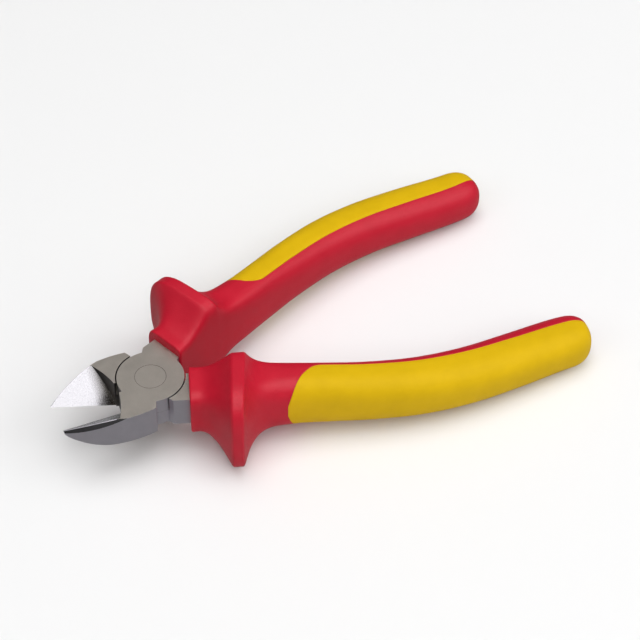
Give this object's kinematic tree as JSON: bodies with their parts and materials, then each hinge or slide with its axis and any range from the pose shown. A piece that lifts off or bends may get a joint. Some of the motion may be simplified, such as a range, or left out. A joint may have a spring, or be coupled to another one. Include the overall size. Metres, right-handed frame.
{
  "type": "insulated diagonal cutting pliers",
  "caption": "Diagonal cutting pliers with a flush riveted lap joint, bevelled jaws, insulating sleeves with finger guards, and soft grips.",
  "frame": {"origin": "on the pivot axis, in the joint's lower ground face", "axes": "+X from the pivot towards the handles along the tool's centre line, +Z along the pivot axis out of the upper ground face, +Y on the side of the upper half's handle"},
  "size_m": [0.155, 0.0852, 0.031],
  "materials": {
    "tool_steel": "ground faces, satin forged sides, polished bevels",
    "rivet_steel": "ground flush with the joint",
    "red_insulation": "fine satin grain",
    "yellow_grip": "soft matt"
  },
  "bodies": {
    "upper_half": {"upper_lap_forging": "tool_steel", "pivot_rivet": "rivet_steel", "upper_insulating_sleeve": "red_insulation", "upper_soft_grip": "yellow_grip"},
    "lower_half": {"lower_lap_forging": "tool_steel", "lower_insulating_sleeve": "red_insulation", "lower_soft_grip": "yellow_grip"}
  },
  "joints": [
    {"name": "pivot", "type": "hinge", "parent": "upper_half", "child": "lower_half", "pos_m": [0, 0, 0.005], "axis": [0, 0, 1], "range_deg": [-18, 18.9]}
  ]
}
